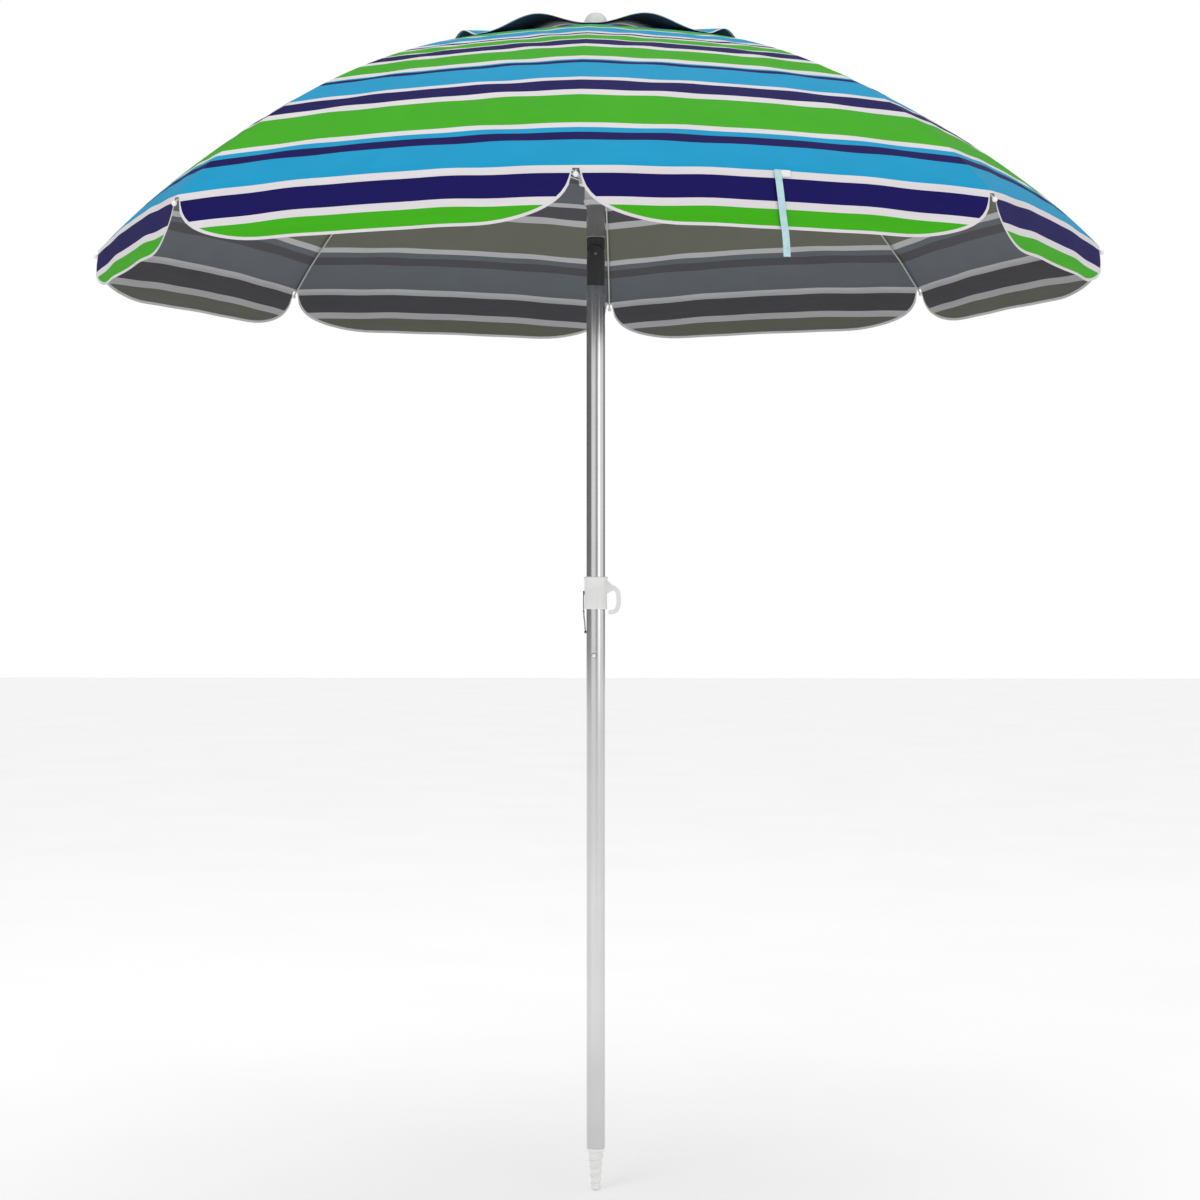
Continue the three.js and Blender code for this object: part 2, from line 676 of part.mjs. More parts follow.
function runner() {
  const bore = POLE_RADIUS + 0.6;
  const sleeve = bore + 2.7;
  const body = lathe([
    [bore, RUNNER_Z - RUNNER_SKIRT],
    [sleeve + 1.4, RUNNER_Z - RUNNER_SKIRT],
    [sleeve + 1.4, RUNNER_Z - RUNNER_SKIRT + 3],
    [sleeve, RUNNER_Z - 43],
    [sleeve, RUNNER_Z - 9],
    [PIVOT_RADIUS + 5, RUNNER_Z - 7],
    [PIVOT_RADIUS + 5, RUNNER_Z + 7],
    [sleeve, RUNNER_Z + 9],
    [bore, RUNNER_Z + 9],
    [bore, RUNNER_Z - RUNNER_SKIRT],
  ], 28);
  return cut(body, ...slots(sleeve + GAP, SLOT_HALF, RUNNER_Z - 12, RUNNER_Z + 12));
}

// A spring catch at the back of the tube, just under the open runner
function runnerCatch() {
  const top = RUNNER_Z - RUNNER_SKIRT - CATCH_GAP;
  const catchShape = new THREE.Shape([
    new THREE.Vector2(POLE_RADIUS + GAP, top - 16),
    new THREE.Vector2(POLE_RADIUS + 3, top - 3),
    new THREE.Vector2(POLE_RADIUS + 3, top),
    new THREE.Vector2(POLE_RADIUS + GAP, top),
  ]);
  return new THREE.ExtrudeGeometry(catchShape, { depth: 3, bevelEnabled: false })
    .translate(0, 0, -1.5)
    .rotateX(Math.PI / 2)
    .rotateZ(Math.PI / 2);
}

// Closing strap, sewn outside the front panel and hanging past the valance
function strapPiece(foot, top, halfWidth, thick, lift) {
  const rim = CANOPY_RADIUS * Math.cos(HALF_GORE);
  const rimZ = ribHeight(CANOPY_RADIUS) - CLOTH_BOW;
  const aside = -57;
  const points = [top, (top + foot) / 2, foot].map((drop) => [
    rim + VALANCE_LEAN * Math.min(drop, VALANCE + 6) + lift,
    rimZ - drop,
  ]);
  return band(points, thick, halfWidth, 6)
    .translate(0, aside, 0)
    .rotateZ(-Math.PI / 2 + HALF_GORE);
}

// The parts, in order from the ground up

addMesh("ground_screw", groundScrew(), WHITE_PLASTIC);
addMesh("lower_tube", lowerTube(), ALUMINIUM);
addMesh("pole_collar", poleCollar(), WHITE_PLASTIC);
addMesh("lock_pin", lockPin(), STEEL);
addMesh("pin_chain", pinChain(), STEEL);
addMesh("chain_rivet", chainRivet(), STEEL);
addMesh("middle_tube", middleTube(), ALUMINIUM);
addMesh("snap_button", snapButton(), STEEL);
addMesh("snap_spring", snapSpring(), STEEL);
addMesh("tilt_base", tiltBase(), BLACK_PLASTIC);
addMesh("tilt_head", tiltHead(), BLACK_PLASTIC);
addMesh("tilt_pivot", tiltPivot(), STEEL);
addMesh("canopy_tube", canopyTube(), ALUMINIUM);
addMesh("runner_catch", runnerCatch(), STEEL);
addMesh("runner", runner(), WHITE_PLASTIC);
addMesh("crown_hub", crownHub(), WHITE_PLASTIC);
addMesh("crown_ring", crownRing(), STEEL);
addMesh("cap_spacer", capSpacer(), WHITE_PLASTIC);
addMesh("vent_cap", ventCap(), CANOPY_CLOTH);
addMesh("finial", finial(), GREY_PLASTIC);
addMesh("strap", strapPiece(VALANCE + 58, 4, 5.5, 1.2, 2.2), STRAP_CLOTH);
addMesh("strap_tab", strapPiece(15, 3, 8, 1, 4.2), STRAP_CLOTH);
for (let k = 0; k < RIB_COUNT; k++) {
  const turn = 2 * HALF_GORE * k;
  addMesh(`rib_${k + 1}`, rib(), RIB_COAT, turn);
  addMesh(`rib_tip_${k + 1}`, ribTip(), WHITE_PLASTIC, turn);
  addMesh(`canopy_panel_${k + 1}`, canopyPanel(), CANOPY_CLOTH, turn);
  addMesh(`stretcher_${k + 1}`, stretcher(), STEEL, turn);
}

export default umbrella;
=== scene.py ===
import math

import bmesh
import bpy
from mathutils import Matrix, Vector


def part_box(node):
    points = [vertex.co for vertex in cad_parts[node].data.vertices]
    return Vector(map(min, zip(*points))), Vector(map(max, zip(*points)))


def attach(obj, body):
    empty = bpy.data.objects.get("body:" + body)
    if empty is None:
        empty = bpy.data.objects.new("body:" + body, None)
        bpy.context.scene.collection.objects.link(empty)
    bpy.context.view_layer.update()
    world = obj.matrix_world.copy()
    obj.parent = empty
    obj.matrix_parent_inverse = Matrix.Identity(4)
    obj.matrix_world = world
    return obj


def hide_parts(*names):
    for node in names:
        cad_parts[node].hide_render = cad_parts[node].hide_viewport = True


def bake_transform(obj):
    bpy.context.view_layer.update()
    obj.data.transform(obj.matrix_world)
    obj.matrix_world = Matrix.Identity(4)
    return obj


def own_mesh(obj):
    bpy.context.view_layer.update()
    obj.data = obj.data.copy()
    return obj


bl_info = {
    "name": "Beach Umbrella",
    "version": (1, 0, 0),
    "blender": (4, 5, 0),
    "location": "View3D > Sidebar > Umbrella",
    "description": "Builds a striped, vented beach umbrella round its frame",
    "category": "Add Mesh",
}

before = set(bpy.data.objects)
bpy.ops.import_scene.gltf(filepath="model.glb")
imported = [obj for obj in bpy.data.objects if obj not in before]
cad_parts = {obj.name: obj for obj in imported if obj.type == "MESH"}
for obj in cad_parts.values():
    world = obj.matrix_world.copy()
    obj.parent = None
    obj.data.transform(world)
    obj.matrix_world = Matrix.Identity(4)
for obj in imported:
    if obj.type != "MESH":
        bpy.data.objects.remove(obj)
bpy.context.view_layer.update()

# The frame's sizes, in metres; those without a box are the part's own values written out

RIBS = 8
HALF_GORE = math.pi / RIBS
POLE_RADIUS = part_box("lower_tube")[1].x
POLE_WALL = 0.001
GAP = 0.0003  # clearance between pieces
SEAM_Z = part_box("lower_tube")[1].z
TIP_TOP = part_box("lower_tube")[0].z
TILT_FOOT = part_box("middle_tube")[1].z
TUBE_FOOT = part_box("canopy_tube")[0].z
TUBE_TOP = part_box("canopy_tube")[1].z
HUB_ABOVE_CROWN = 0.005
CROWN_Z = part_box("crown_hub")[1].z - HUB_ABOVE_CROWN

# The cloth's sizes, in metres, and its shares and ratios

RADIUS = 0.865  # pole axis to rib tip
DROP = 0.362  # crown to rim along a rib
RIM_RISE = 0.010  # the rim's height at mid-gore above its height at the ribs
EDGE = RADIUS * math.sin(HALF_GORE)  # rib to mid-gore along the rim
VALANCE = 0.083
VALANCE_LEAN = 0.15  # how far the valance leans out, as a share of its depth
FLAP_SQUARENESS = 2.6  # a flap's corner: 2 is an ellipse, more is squarer
CORNER = 0.22  # reach of a flap's rounded corner
NOTCH = 0.0055  # half the width of the slit between two flaps
HEM = 0.0008  # depth of the valance at a slit
VENT_HOLE = 0.16
VENT_RADIUS = 0.2647
CAP_CENTRE = 0.022  # where the vent cap's cloth starts, under the crown patch
CAP_RISE = 0.021
CAP_SEAT = 0.003
CAP_PEAK = 0.07  # reach of the vent cap's raised middle
STATIONS = 1.5  # the cloth's length coordinate: 0 crown, 1 rim, 1.5 the valance's edge
CANOPY_ROWS = 0.72  # share of a panel's rows on the canopy; the rest are on its valance

# The small parts' sizes, in metres

EDGE_ROUND = 0.0003
THREAD = 0.0011  # one weave of the cloth
SEAM_HALF = 0.0035
TIP_BALL = 0.0041
LINK_PITCH = 0.72  # from one link to the next, as a share of a link's length
LINK_WIRE = 0.0005
LINK_HALF = 0.00095
TAPE = 0.0012  # thickness of the strap and its tab
CLEAR = 0.05  # an edge distance far past the edge tape


class UmbrellaSettings(bpy.types.PropertyGroup):
    """Sizes and colours that a user would change."""

    cyan: bpy.props.FloatVectorProperty(
        name="Cyan", description="Widest stripes", subtype="COLOR", size=3, default=(0.001, 0.262, 0.475)
    )
    navy: bpy.props.FloatVectorProperty(
        name="Navy", description="Dark stripes", subtype="COLOR", size=3, default=(0.004, 0.001, 0.082)
    )
    green: bpy.props.FloatVectorProperty(
        name="Green", description="Green stripes", subtype="COLOR", size=3, default=(0.040, 0.345, 0.004)
    )
    white: bpy.props.FloatVectorProperty(
        name="White", description="Narrow stripes and edge tape",
        subtype="COLOR", size=3, default=(0.60, 0.575, 0.59),
    )
    lining: bpy.props.FloatVectorProperty(
        name="Lining", description="Underside of the cyan stripes",
        subtype="COLOR", size=3, default=(0.115, 0.128, 0.142),
    )
    cloth: bpy.props.FloatProperty(
        name="Cloth", description="Thickness of the cloth", default=0.0007, subtype="DISTANCE", unit="LENGTH"
    )
    tape: bpy.props.FloatProperty(
        name="Edge tape", description="Width of the white edge tape",
        default=0.0045, subtype="DISTANCE", unit="LENGTH",
    )
    billow: bpy.props.FloatProperty(
        name="Billow", description="Lift of the vent cap between ribs",
        default=0.0235, subtype="DISTANCE", unit="LENGTH",
    )
    link: bpy.props.FloatProperty(
        name="Chain link", description="Length of a chain link",
        default=0.0052, subtype="DISTANCE", unit="LENGTH",
    )


def settings():
    return bpy.context.scene.umbrella


# Node helpers


def node(tree, kind, **inputs):
    made = tree.nodes.new(kind)
    for name, value in inputs.items():
        made.inputs[name.replace("_", " ")].default_value = value
    return made


def maths(tree, operation, a, b=None, c=None):
    made = tree.nodes.new("ShaderNodeMath")
    made.operation = operation
    for socket, value in zip(made.inputs, (a, b, c)):
        if value is None:
            continue
        if isinstance(value, bpy.types.NodeSocket):
            tree.links.new(value, socket)
        else:
            socket.default_value = value
    return made.outputs[0]


def mix(tree, share, first, second, blend="MIX"):
    made = tree.nodes.new("ShaderNodeMix")
    made.data_type = "RGBA"
    made.blend_type = blend
    for socket, value in ((made.inputs[0], share), (made.inputs[6], first), (made.inputs[7], second)):
        if isinstance(value, bpy.types.NodeSocket):
            tree.links.new(value, socket)
        else:
            socket.default_value = value
    return made.outputs[2]


def rgba(colour):
    return (*colour, 1.0)


def new_material(name):
    """A material with an empty Principled shader; returns (material, tree, shader)."""
    material = bpy.data.materials.new(name)
    material.use_nodes = True
    return material, material.node_tree, material.node_tree.nodes["Principled BSDF"]


def noise(tree, coordinates, scale, detail=3.0, stretch=(1, 1, 1)):
    mapping = tree.nodes.new("ShaderNodeMapping")
    mapping.inputs["Scale"].default_value = stretch
    tree.links.new(coordinates, mapping.inputs["Vector"])
    texture = node(tree, "ShaderNodeTexNoise", Scale=scale, Detail=detail)
    tree.links.new(mapping.outputs[0], texture.inputs["Vector"])
    return texture.outputs["Fac"]


def ramp(tree, value, stops, interpolation="LINEAR"):
    made = tree.nodes.new("ShaderNodeValToRGB")
    made.color_ramp.interpolation = interpolation
    elements = made.color_ramp.elements
    elements[0].position, elements[0].color = stops[0][0], stops[0][1]
    elements[1].position, elements[1].color = stops[1][0], stops[1][1]
    for place, colour in stops[2:]:
        elements.new(place).color = colour
    tree.links.new(value, made.inputs["Fac"])
    return made.outputs["Color"]


def grey(value):
    return (value, value, value, 1.0)


def bump(tree, shader, height, strength, distance):
    made = node(tree, "ShaderNodeBump", Strength=strength, Distance=distance)
    tree.links.new(height, made.inputs["Height"])
    tree.links.new(made.outputs[0], shader.inputs["Normal"])


# Materials


def dyes(under):
    """The cyan, navy, green and white of the outer face, or the greys that they are underneath."""
    s = settings()
    if under:
        slate = Vector(s.lining)
        dark = slate.x * 0.66
        pale = slate.x * 3.9
        olive = slate.x * Vector((1.15, 1.2, 0.98))
        tints = slate, (dark, dark * 0.98, dark * 1.1), olive, (pale, pale, pale * 1.02)
    else:
        tints = s.cyan, s.navy, s.green, s.white
    return [rgba(tint) for tint in tints]


def stripe_stops(canopy, under):
    """The stripes from the crown outwards, as (place, colour) with places over STATIONS."""
    c, n, g, w = dyes(under)
    if not canopy:
        rows = (0, g), (0.36, w), (0.39, n), (0.50, w), (0.53, c)
        return [(place / STATIONS, colour) for place, colour in rows]
    rows = (
        (0, c), (0.33, g), (0.39, w), (0.40, c), (0.462, w), (0.475, n), (0.49, w), (0.50, g),
        (0.534, w), (0.543, n), (0.58, w), (0.593, g), (0.654, w), (0.668, c), (0.679, n),
        (0.689, c), (0.751, w), (0.762, n), (0.80, w), (0.818, g), (0.898, w), (0.911, c),
        (0.923, n), (0.939, c), (0.996, w), (1.045, n), (1.25, w), (1.323, g),
    )
    return [(place / STATIONS, colour) for place, colour in rows]


def stripes_group(name, stops, tape):
    """A group that turns the cloth's length coordinate and edge distance into its dyed colour."""
    group = bpy.data.node_groups.new(name, "ShaderNodeTree")
    group.interface.new_socket("Station", in_out="INPUT", socket_type="NodeSocketFloat")
    group.interface.new_socket("Edge", in_out="INPUT", socket_type="NodeSocketFloat")
    group.interface.new_socket("Colour", in_out="OUTPUT", socket_type="NodeSocketColor")
    enter = group.nodes.new("NodeGroupInput")
    leave = group.nodes.new("NodeGroupOutput")
    dyed = ramp(group, enter.outputs["Station"], stops, "CONSTANT")
    taped = maths(group, "LESS_THAN", enter.outputs["Edge"], settings().tape)
    colour = mix(group, taped, dyed, tape)
    group.links.new(colour, leave.inputs["Colour"])
    return group


def weave_group():
    """Fine plain weave, folds with painted fold shade and light, and rib seam, from the cloth's own
    coordinates in metres.
    """
    group = bpy.data.node_groups.new("cloth weave", "ShaderNodeTree")
    group.interface.new_socket("Place", in_out="INPUT", socket_type="NodeSocketVector")
    group.interface.new_socket("Height", in_out="OUTPUT", socket_type="NodeSocketFloat")
    group.interface.new_socket("Shade", in_out="OUTPUT", socket_type="NodeSocketFloat")
    enter = group.nodes.new("NodeGroupInput")
    leave = group.nodes.new("NodeGroupOutput")
    split = group.nodes.new("ShaderNodeSeparateXYZ")
    group.links.new(enter.outputs["Place"], split.inputs[0])
    thread = 2 * math.pi / THREAD
    across = maths(group, "SINE", maths(group, "MULTIPLY", split.outputs["X"], thread))
    along = maths(group, "SINE", maths(group, "MULTIPLY", split.outputs["Y"], thread))
    weave = maths(group, "MULTIPLY", across, along)
    folds = noise(group, enter.outputs["Place"], 9.0, 4.0, (1.0, 2.2, 1.0))
    seam = maths(group, "LESS_THAN", maths(group, "ABSOLUTE", split.outputs["X"]), SEAM_HALF)
    stitching = maths(group, "SINE", maths(group, "MULTIPLY", split.outputs["Y"], 1600.0))
    stitch = maths(group, "GREATER_THAN", stitching, 0.2)
    ridge = maths(group, "MULTIPLY", seam, maths(group, "MULTIPLY_ADD", stitch, -0.25, 1.0))
    height = maths(group, "MULTIPLY_ADD", folds, 1.6, maths(group, "MULTIPLY", weave, 0.05))
    group.links.new(maths(group, "MULTIPLY_ADD", ridge, 0.35, height), leave.inputs["Height"])
    # the fold noise darkens and lightens the colour: painted fold shade and light, with a faint weave tone
    shade = maths(group, "MULTIPLY_ADD", weave, 0.03, maths(group, "MULTIPLY_ADD", folds, 0.16, 0.92))
    group.links.new(shade, leave.inputs["Shade"])
    return group


def cloth_material(name, canopy, under, weave):
    material, tree, shader = new_material(name)
    uv = tree.nodes.new("ShaderNodeUVMap")
    uv.uv_map = "cloth"
    split = tree.nodes.new("ShaderNodeSeparateXYZ")
    tree.links.new(uv.outputs[0], split.inputs[0])
    edge = tree.nodes.new("ShaderNodeAttribute")
    edge.attribute_name = "edge"
    stripes = tree.nodes.new("ShaderNodeGroup")
    stripes.node_tree = stripes_group(name + " stripes", stripe_stops(canopy, under), rgba(settings().white))
    tree.links.new(maths(tree, "DIVIDE", split.outputs["Y"], STATIONS), stripes.inputs["Station"])
    tree.links.new(edge.outputs["Fac"], stripes.inputs["Edge"])
    place = tree.nodes.new("ShaderNodeVectorMath")
    place.operation = "MULTIPLY"
    place.inputs[1].default_value = (1.0, RADIUS, 1.0)
    tree.links.new(uv.outputs[0], place.inputs[0])
    threads = tree.nodes.new("ShaderNodeGroup")
    threads.node_tree = weave
    tree.links.new(place.outputs[0], threads.inputs["Place"])
    colour = stripes.outputs["Colour"]
    # the dyed colour times the weave's shade: painted fold shade and light, and a faint weave tone
    shade = tree.nodes.new("ShaderNodeCombineColor")
    for socket in shade.inputs[:3]:
        tree.links.new(threads.outputs["Shade"], socket)
    tree.links.new(mix(tree, 1.0, colour, shade.outputs[0], "MULTIPLY"), shader.inputs["Base Color"])
    shader.inputs["Roughness"].default_value = 0.72 if under else 0.62
    shader.inputs["Sheen Weight"].default_value = 0.02
    shader.inputs["Specular IOR Level"].default_value = 0.12
    shader.inputs["Sheen Roughness"].default_value = 0.5
    bump(tree, shader, threads.outputs["Height"], 0.35, 0.0012)
    return material


def clouded(tree, value, socket, low, high, spread=(0.3, 0.7)):
    """Varies a socket between two colours or greys as a texture's value rises."""
    tree.links.new(ramp(tree, value, list(zip(spread, (low, high)))), socket)


def metal_material(name, colour, rough, streak=(1, 1, 1)):
    """Drawn or plated metal: faint clouds in its colour, and a grain that may run along the piece."""
    material, tree, shader = new_material(name)
    place = tree.nodes.new("ShaderNodeTexCoord").outputs["Object"]
    grain = noise(tree, place, 60.0, 5.0, streak)
    cloud = noise(tree, place, 7.0, 3.0)
    clouded(tree, cloud, shader.inputs["Base Color"], rgba([x * 0.9 for x in colour]), rgba(colour))
    clouded(tree, grain, shader.inputs["Roughness"], grey(rough * 0.75), grey(rough * 1.35), (0.3, 0.75))
    shader.inputs["Metallic"].default_value = 1.0
    bump(tree, shader, grain, 0.08, 0.0002)
    return material


def plastic_material(name, colour, rough):
    """Moulded plastic: faint flow clouds and a fine grain."""
    material, tree, shader = new_material(name)
    place = tree.nodes.new("ShaderNodeTexCoord").outputs["Object"]
    cloud = noise(tree, place, 30.0, 4.0)
    grain = noise(tree, place, 1400.0, 2.0)
    clouded(tree, cloud, shader.inputs["Base Color"], rgba([x * 0.9 for x in colour]), rgba(colour))
    clouded(tree, cloud, shader.inputs["Roughness"], grey(rough * 0.85), grey(rough * 1.15))
    bump(tree, shader, grain, 0.12, 0.0003)
    return material


def tape_material(name, colour):
    """Woven tape with a ribbed weave across it."""
    material, tree, shader = new_material(name)
    place = tree.nodes.new("ShaderNodeTexCoord").outputs["Object"]
    split = tree.nodes.new("ShaderNodeSeparateXYZ")
    tree.links.new(place, split.inputs[0])
    ribs = maths(tree, "SINE", maths(tree, "MULTIPLY", split.outputs["Z"], 4200.0))
    cloud = noise(tree, place, 120.0, 3.0)
    clouded(tree, cloud, shader.inputs["Base Color"], rgba([x * 0.86 for x in colour]), rgba(colour))
    shader.inputs["Roughness"].default_value = 0.8
    bump(tree, shader, ribs, 0.4, 0.0003)
    return material


MATERIALS = {}


def make_materials():
    weave = weave_group()
    MATERIALS.update(
        canopy=cloth_material("canopy cloth", True, False, weave),
        canopy_under=cloth_material("canopy underside", True, True, weave),
        cap=cloth_material("vent cap cloth", False, False, weave),
        cap_under=cloth_material("vent cap underside", False, True, weave),
        tube=metal_material("drawn aluminium", (0.66, 0.66, 0.665), 0.16, (1, 1, 0.02)),
        steel=metal_material("bright steel", (0.55, 0.55, 0.56), 0.25),
        iron=metal_material("dark wire", (0.13, 0.13, 0.135), 0.35),
        wire=plastic_material("rib coat", (0.50, 0.51, 0.47), 0.35),
        white=plastic_material("white plastic", (0.76, 0.76, 0.75), 0.38),
        grey=plastic_material("grey plastic", (0.58, 0.58, 0.57), 0.4),
        black=plastic_material("black plastic", (0.028, 0.028, 0.028), 0.42),
        strap=tape_material("strap tape", (0.42, 0.62, 0.66)),
        tab=plastic_material("tab tape", (0.72, 0.73, 0.72), 0.75),
    )


# Mesh helpers


def finish_piece(name, bm, materials, body, nodes=(), sharp=35.0):
    """Turns a bmesh into a smooth-shaded piece that rides on a body and stands for CAD nodes."""
    mesh = bpy.data.meshes.new(name)
    bm.to_mesh(mesh)
    bm.free()
    for material in materials:
        mesh.materials.append(MATERIALS[material])
    mesh.shade_smooth()
    if sharp:
        mesh.set_sharp_from_angle(angle=math.radians(sharp))
    piece = bpy.data.objects.new(name, mesh)
    bpy.context.scene.collection.objects.link(piece)
    if body:
        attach(piece, body)
    if nodes:
        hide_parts(*nodes)
    return piece


def turned(profile, steps=96):
    """A profile of (radius, height) turned about the Z axis into a closed bmesh."""
    bm = bmesh.new()
    line = [bm.verts.new((r, 0, z)) for r, z in profile]
    for a, b in zip(line, line[1:]):
        bm.edges.new((a, b))
    bmesh.ops.spin(
        bm, geom=bm.verts[:] + bm.edges[:], cent=(0, 0, 0), axis=(0, 0, 1),
        angle=2 * math.pi, steps=steps, use_merge=True,
    )
    bmesh.ops.remove_doubles(bm, verts=bm.verts, dist=1e-6)
    bmesh.ops.recalc_face_normals(bm, faces=bm.faces)
    return bm


def tube_profile(inner, outer, foot, top):
    """Half of a tube's section, with its outer edges broken."""
    return [
        (inner, foot), (outer - EDGE_ROUND, foot), (outer, foot + EDGE_ROUND), (outer, top - EDGE_ROUND),
        (outer - EDGE_ROUND, top), (inner, top), (inner, foot),
    ]


def copied(cad_node):
    """A merged copy of a CAD node's mesh."""
    bm = bmesh.new()
    bm.from_mesh(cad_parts[cad_node].data)
    bmesh.ops.remove_doubles(bm, verts=bm.verts, dist=2e-6)
    bmesh.ops.dissolve_limit(bm, angle_limit=math.radians(1), verts=bm.verts, edges=bm.edges)
    return bm


def softened(cad_node, body, material, width):
    """A piece with a CAD node's shape and rounded edges."""
    bm = copied(cad_node)
    piece = finish_piece(cad_node + "_made", bm, [material], body, [cad_node], 30.0)
    modifier = piece.modifiers.new("rounded edges", "BEVEL")
    modifier.width = width
    modifier.segments = 2
    modifier.limit_method = "ANGLE"
    modifier.angle_limit = math.radians(40)


# Canopy shape


def rib_height(r):
    """Height of a rib at a distance r from the pole's axis."""
    t = r / RADIUS
    return CROWN_Z - DROP * (0.92 * t**2 + 0.08 * t**8)


def cloth_point(r, s):
    """The cloth at rib station r and a share s of the way from the rib to mid-gore."""
    reach = r * math.cos(HALF_GORE)
    share = abs(s)
    rise = RIM_RISE * (r / RADIUS) ** 2 * share * (2 - share)
    x = r * (1 - share) + reach * math.cos(HALF_GORE) * share
    waves = math.sin(2 * math.pi * (9 * r / RADIUS + 2 * share))
    pucker = 0.0009 * ((1 - share) * share * 4) ** 2 * waves
    return Vector((x, s * reach * math.sin(HALF_GORE), rib_height(r) + rise + pucker))


def cap_height(r):
    """Height of the vent cap where it crosses a rib."""
    return rib_height(r) + CAP_SEAT + (CAP_RISE - CAP_SEAT) * math.exp(-((r / CAP_PEAK) ** 2))


def flap_drop(s):
    """Depth of the valance at a share s of the way from the rib to mid-gore."""
    d = abs(s) * EDGE
    if d < NOTCH:
        return HEM
    c = max(0.0, 1 - (d - NOTCH) / CORNER)
    return max(HEM, VALANCE * (1 - c**FLAP_SQUARENESS) ** (1 / FLAP_SQUARENESS))


def shaped_grid(columns, rows, place):
    """A grid whose points, UVs and edge distances come from place(u, v) -> (point, uv, edge)."""
    bm = bmesh.new()
    bmesh.ops.create_grid(bm, x_segments=columns, y_segments=rows, size=0.5)
    uv = bm.loops.layers.uv.new("cloth")
    edge = bm.verts.layers.float.new("edge")
    spots = {}
    for vert in bm.verts:
        point, spot, distance = place(vert.co.x * 2, vert.co.y + 0.5)
        vert.co = point
        vert[edge] = distance
        spots[vert.index] = spot
    for face in bm.faces:
        for loop in face.loops:
            loop[uv].uv = spots[loop.vert.index]
    bm.normal_update()
    if sum(f.normal.z for f in bm.faces) < 0:
        bmesh.ops.reverse_faces(bm, faces=bm.faces)
    for rim in bm.edges:
        rim.smooth = not rim.is_boundary
    return bm


def cloth_piece(name, bm, k, materials, nodes):
    turn = 2 * HALF_GORE * k
    bmesh.ops.rotate(bm, verts=bm.verts, cent=(0, 0, 0), matrix=Matrix.Rotation(turn, 3, "Z"))
    area = sum(f.calc_area() for f in bm.faces)
    piece = finish_piece(name, bm, materials, f"rib_body_{k + 1}", nodes, None)
    thick = piece.modifiers.new("cloth thickness", "SOLIDIFY")
    thick.thickness = settings().cloth
    thick.offset = -1
    thick.material_offset = 1
    thick.material_offset_rim = 0
    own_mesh(piece)


def panel_place(u, v):
    """One rib's share of the main canopy and the two half flaps of its valance."""
    s = math.copysign(abs(u) ** 2, u)
    if v <= CANOPY_ROWS:
        r = VENT_HOLE + (RADIUS - VENT_HOLE) * v / CANOPY_ROWS
        hem = (r - VENT_HOLE) * 1.1 if r < VENT_HOLE + 0.02 else flap_room(s, 0.0)
        return cloth_point(r, s), (s * r * math.sin(HALF_GORE), r / RADIUS), hem
    down = (v - CANOPY_ROWS) / (1 - CANOPY_ROWS)
    drop = flap_drop(s) * down
    flutter = 0.0018 * down * math.cos(3 * math.pi * abs(s)) * min(1, abs(s) * 8)
    facing = math.copysign(HALF_GORE, s)
    outward = Vector((math.cos(facing), math.sin(facing), 0))
    point = cloth_point(RADIUS, s) + outward * (VALANCE_LEAN * drop + flutter)
    point.z -= drop
    return point, (s * EDGE, 1 + 0.5 * drop / VALANCE), flap_room(s, drop)


def flap_room(s, drop):
    """How far a point of the valance is from its scalloped edge."""
    d = abs(s) * EDGE
    below = flap_drop(s) - drop
    if drop == 0:
        return CLEAR if d > NOTCH + 0.006 else 0.006
    step = 0.004
    inside = 0.01 < abs(s) < 0.99
    slope = (flap_drop(s + step) - flap_drop(s - step)) / (2 * step * EDGE) if inside else 0.0
    return max(0.0, below / math.hypot(1.0, slope))


def vent_place(s, v):
    """One rib's share of the vent cap: tied down at the rib, billowing towards mid-gore."""
    share = abs(s)
    r = CAP_CENTRE + (VENT_RADIUS - CAP_CENTRE) * v
    reach = r * math.cos(HALF_GORE) / math.cos(HALF_GORE * (1 - share))
    angle = HALF_GORE * s
    lift = settings().billow * (r / VENT_RADIUS) ** 2 * math.sin(math.pi / 2 * share) ** 2
    point = Vector((reach * math.cos(angle), reach * math.sin(angle), cap_height(r) + lift))
    return point, (s * r * math.sin(HALF_GORE), r / VENT_RADIUS), (VENT_RADIUS - r)


# Operators


